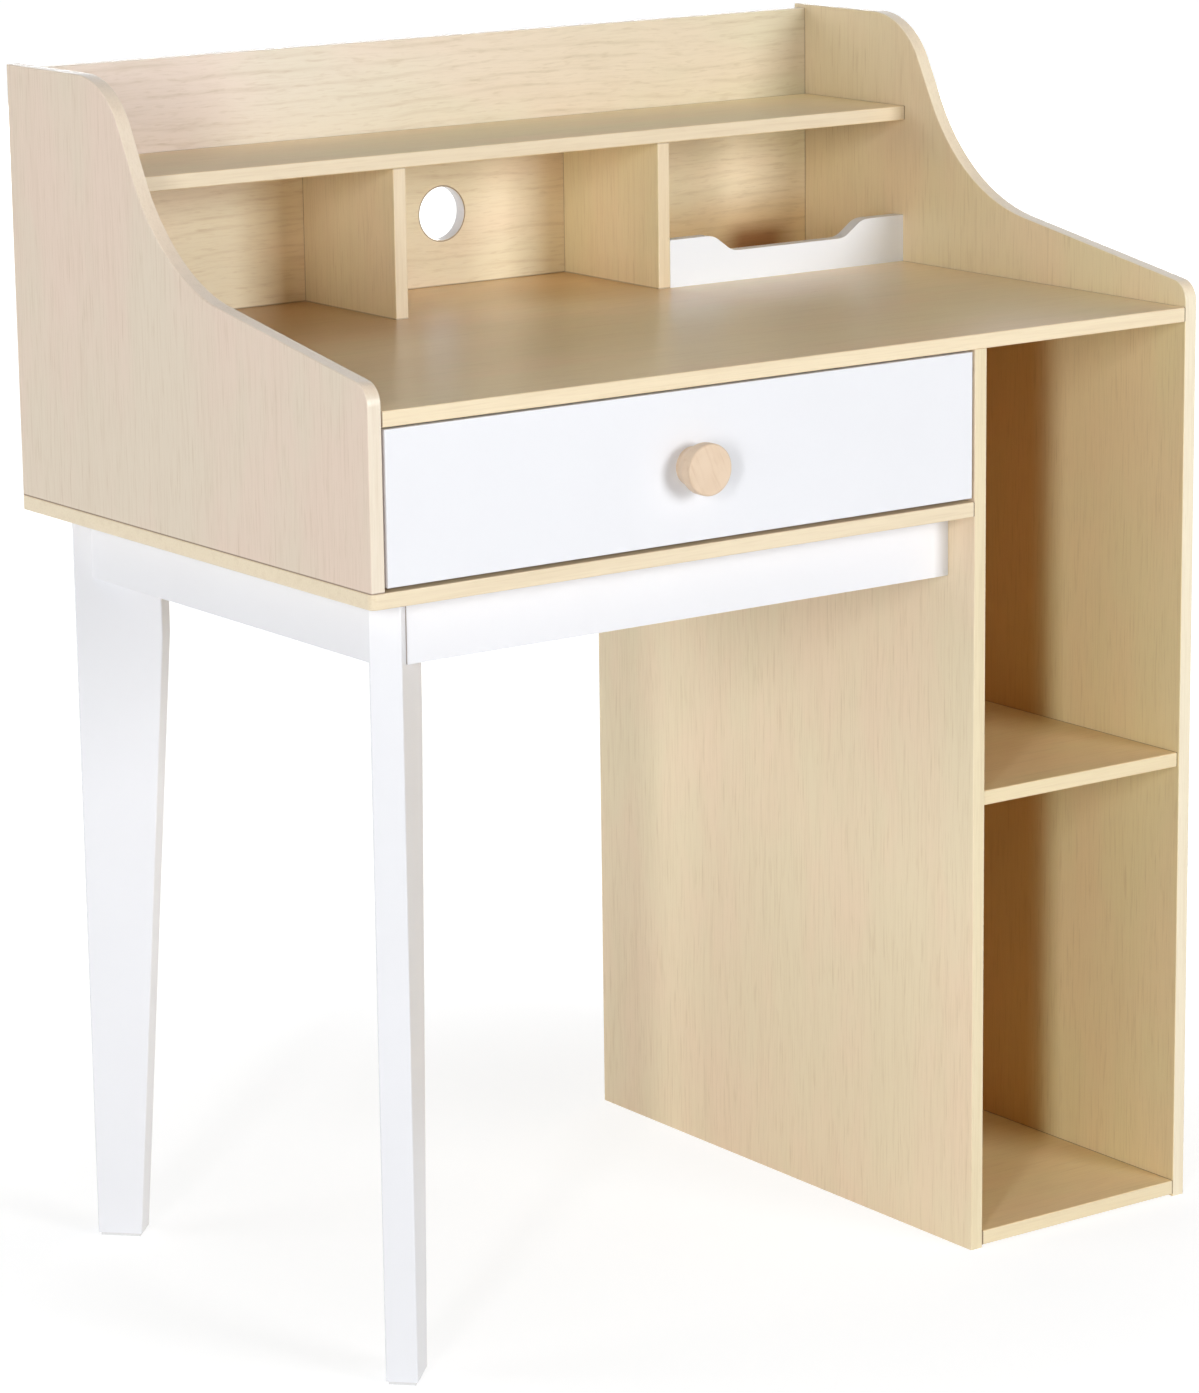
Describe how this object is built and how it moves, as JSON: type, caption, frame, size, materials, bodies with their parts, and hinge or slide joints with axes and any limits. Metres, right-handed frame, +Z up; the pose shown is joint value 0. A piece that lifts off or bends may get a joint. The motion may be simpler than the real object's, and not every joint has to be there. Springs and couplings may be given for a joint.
{
  "type": "student desk with hutch",
  "caption": "Study desk with an S-sided hutch, divided cubbies, a drawer on roller runners, an open bookcase at one side and a tapered leg frame at the other.",
  "frame": {"origin": "middle of the whole footprint, knob included, on the floor", "axes": "+X to the viewer's right, -Y out of the drawer front, +Z up"},
  "size_m": [0.8, 0.534, 0.966],
  "materials": {
    "maple_laminate": "satin maple-effect laminate, fine vertical grain",
    "drawer_laminate": "plain maple-effect foil",
    "white_lacquer": "satin white lacquer on board",
    "hardboard": "printed hardboard",
    "turned_beech": "turned beech, clear matt varnish",
    "zinc_steel": "zinc plated steel",
    "white_nylon": "moulded nylon",
    "grey_plastic": "moulded plastic glide"
  },
  "bodies": {
    "carcass": {"base_board": "maple_laminate", "bookcase_back_panel": "hardboard", "bookcase_bottom_board": "maple_laminate", "bookcase_divider_panel": "maple_laminate", "bookcase_shelf": "maple_laminate", "bookcase_shelf_cam_bolts": "zinc_steel", "bookcase_shelf_cam_locks": "zinc_steel", "cabinet_rivet_left": "zinc_steel", "cabinet_rivet_right": "zinc_steel", "cabinet_runner_left": "zinc_steel", "cabinet_runner_right": "zinc_steel", "cabinet_runner_screws_left": "zinc_steel", "cabinet_runner_screws_right": "zinc_steel", "desktop": "maple_laminate", "desktop_cam_bolts": "zinc_steel", "desktop_cam_locks": "zinc_steel", "drawer_bay_back": "maple_laminate", "front_apron": "white_lacquer", "front_foot_pad": "grey_plastic", "front_leg": "white_lacquer", "hutch_back_panel": "maple_laminate", "hutch_divider_left": "maple_laminate", "hutch_divider_right": "maple_laminate", "hutch_shelf": "maple_laminate", "hutch_shelf_cam_bolts": "zinc_steel", "hutch_shelf_cam_locks": "zinc_steel", "left_side_panel": "maple_laminate", "letter_rail": "white_lacquer", "rear_apron": "white_lacquer", "rear_foot_pad": "grey_plastic", "rear_leg": "white_lacquer", "right_side_panel": "maple_laminate", "side_rail": "white_lacquer"},
    "drawer": {"drawer_back": "drawer_laminate", "drawer_bottom": "hardboard", "drawer_cam_bolts_left": "zinc_steel", "drawer_cam_bolts_right": "zinc_steel", "drawer_cam_locks_left": "zinc_steel", "drawer_cam_locks_right": "zinc_steel", "drawer_front": "white_lacquer", "drawer_knob": "turned_beech", "drawer_rivet_left": "zinc_steel", "drawer_rivet_right": "zinc_steel", "drawer_runner_left": "zinc_steel", "drawer_runner_right": "zinc_steel", "drawer_runner_screws_left": "zinc_steel", "drawer_runner_screws_right": "zinc_steel", "drawer_side_left": "drawer_laminate", "drawer_side_right": "drawer_laminate", "knob_screw": "zinc_steel"},
    "left_cabinet_wheel": {"cabinet_roller_left": "white_nylon"},
    "right_cabinet_wheel": {"cabinet_roller_right": "white_nylon"},
    "left_drawer_wheel": {"drawer_roller_left": "white_nylon"},
    "right_drawer_wheel": {"drawer_roller_right": "white_nylon"}
  },
  "joints": [
    {"name": "drawer_slide", "type": "slide", "parent": "carcass", "child": "drawer", "axis": [0, -1, 0], "range_m": [0, 0.3]},
    {"name": "left_cabinet_wheel_spin", "type": "hinge", "parent": "carcass", "child": "left_cabinet_wheel", "pos_m": [-0.3838, -0.216, 0.6421], "axis": [1, 0, 0], "range_deg": [0, 1810]},
    {"name": "right_cabinet_wheel_spin", "type": "hinge", "parent": "carcass", "child": "right_cabinet_wheel", "pos_m": [0.1628, -0.216, 0.6421], "axis": [1, 0, 0], "range_deg": [0, 1810]},
    {"name": "left_drawer_wheel_spin", "type": "hinge", "parent": "drawer", "child": "left_drawer_wheel", "pos_m": [-0.3797, 0.16, 0.6421], "axis": [1, 0, 0], "range_deg": [0, 1810]},
    {"name": "right_drawer_wheel_spin", "type": "hinge", "parent": "drawer", "child": "right_drawer_wheel", "pos_m": [0.1587, 0.16, 0.6421], "axis": [1, 0, 0], "range_deg": [0, 1810]}
  ],
  "couplings": [
    {"joint": "left_cabinet_wheel_spin", "follows": "drawer_slide", "rad_per_m": 105.26},
    {"joint": "right_cabinet_wheel_spin", "follows": "drawer_slide", "rad_per_m": 105.26},
    {"joint": "left_drawer_wheel_spin", "follows": "drawer_slide", "rad_per_m": 105.26},
    {"joint": "right_drawer_wheel_spin", "follows": "drawer_slide", "rad_per_m": 105.26}
  ]
}
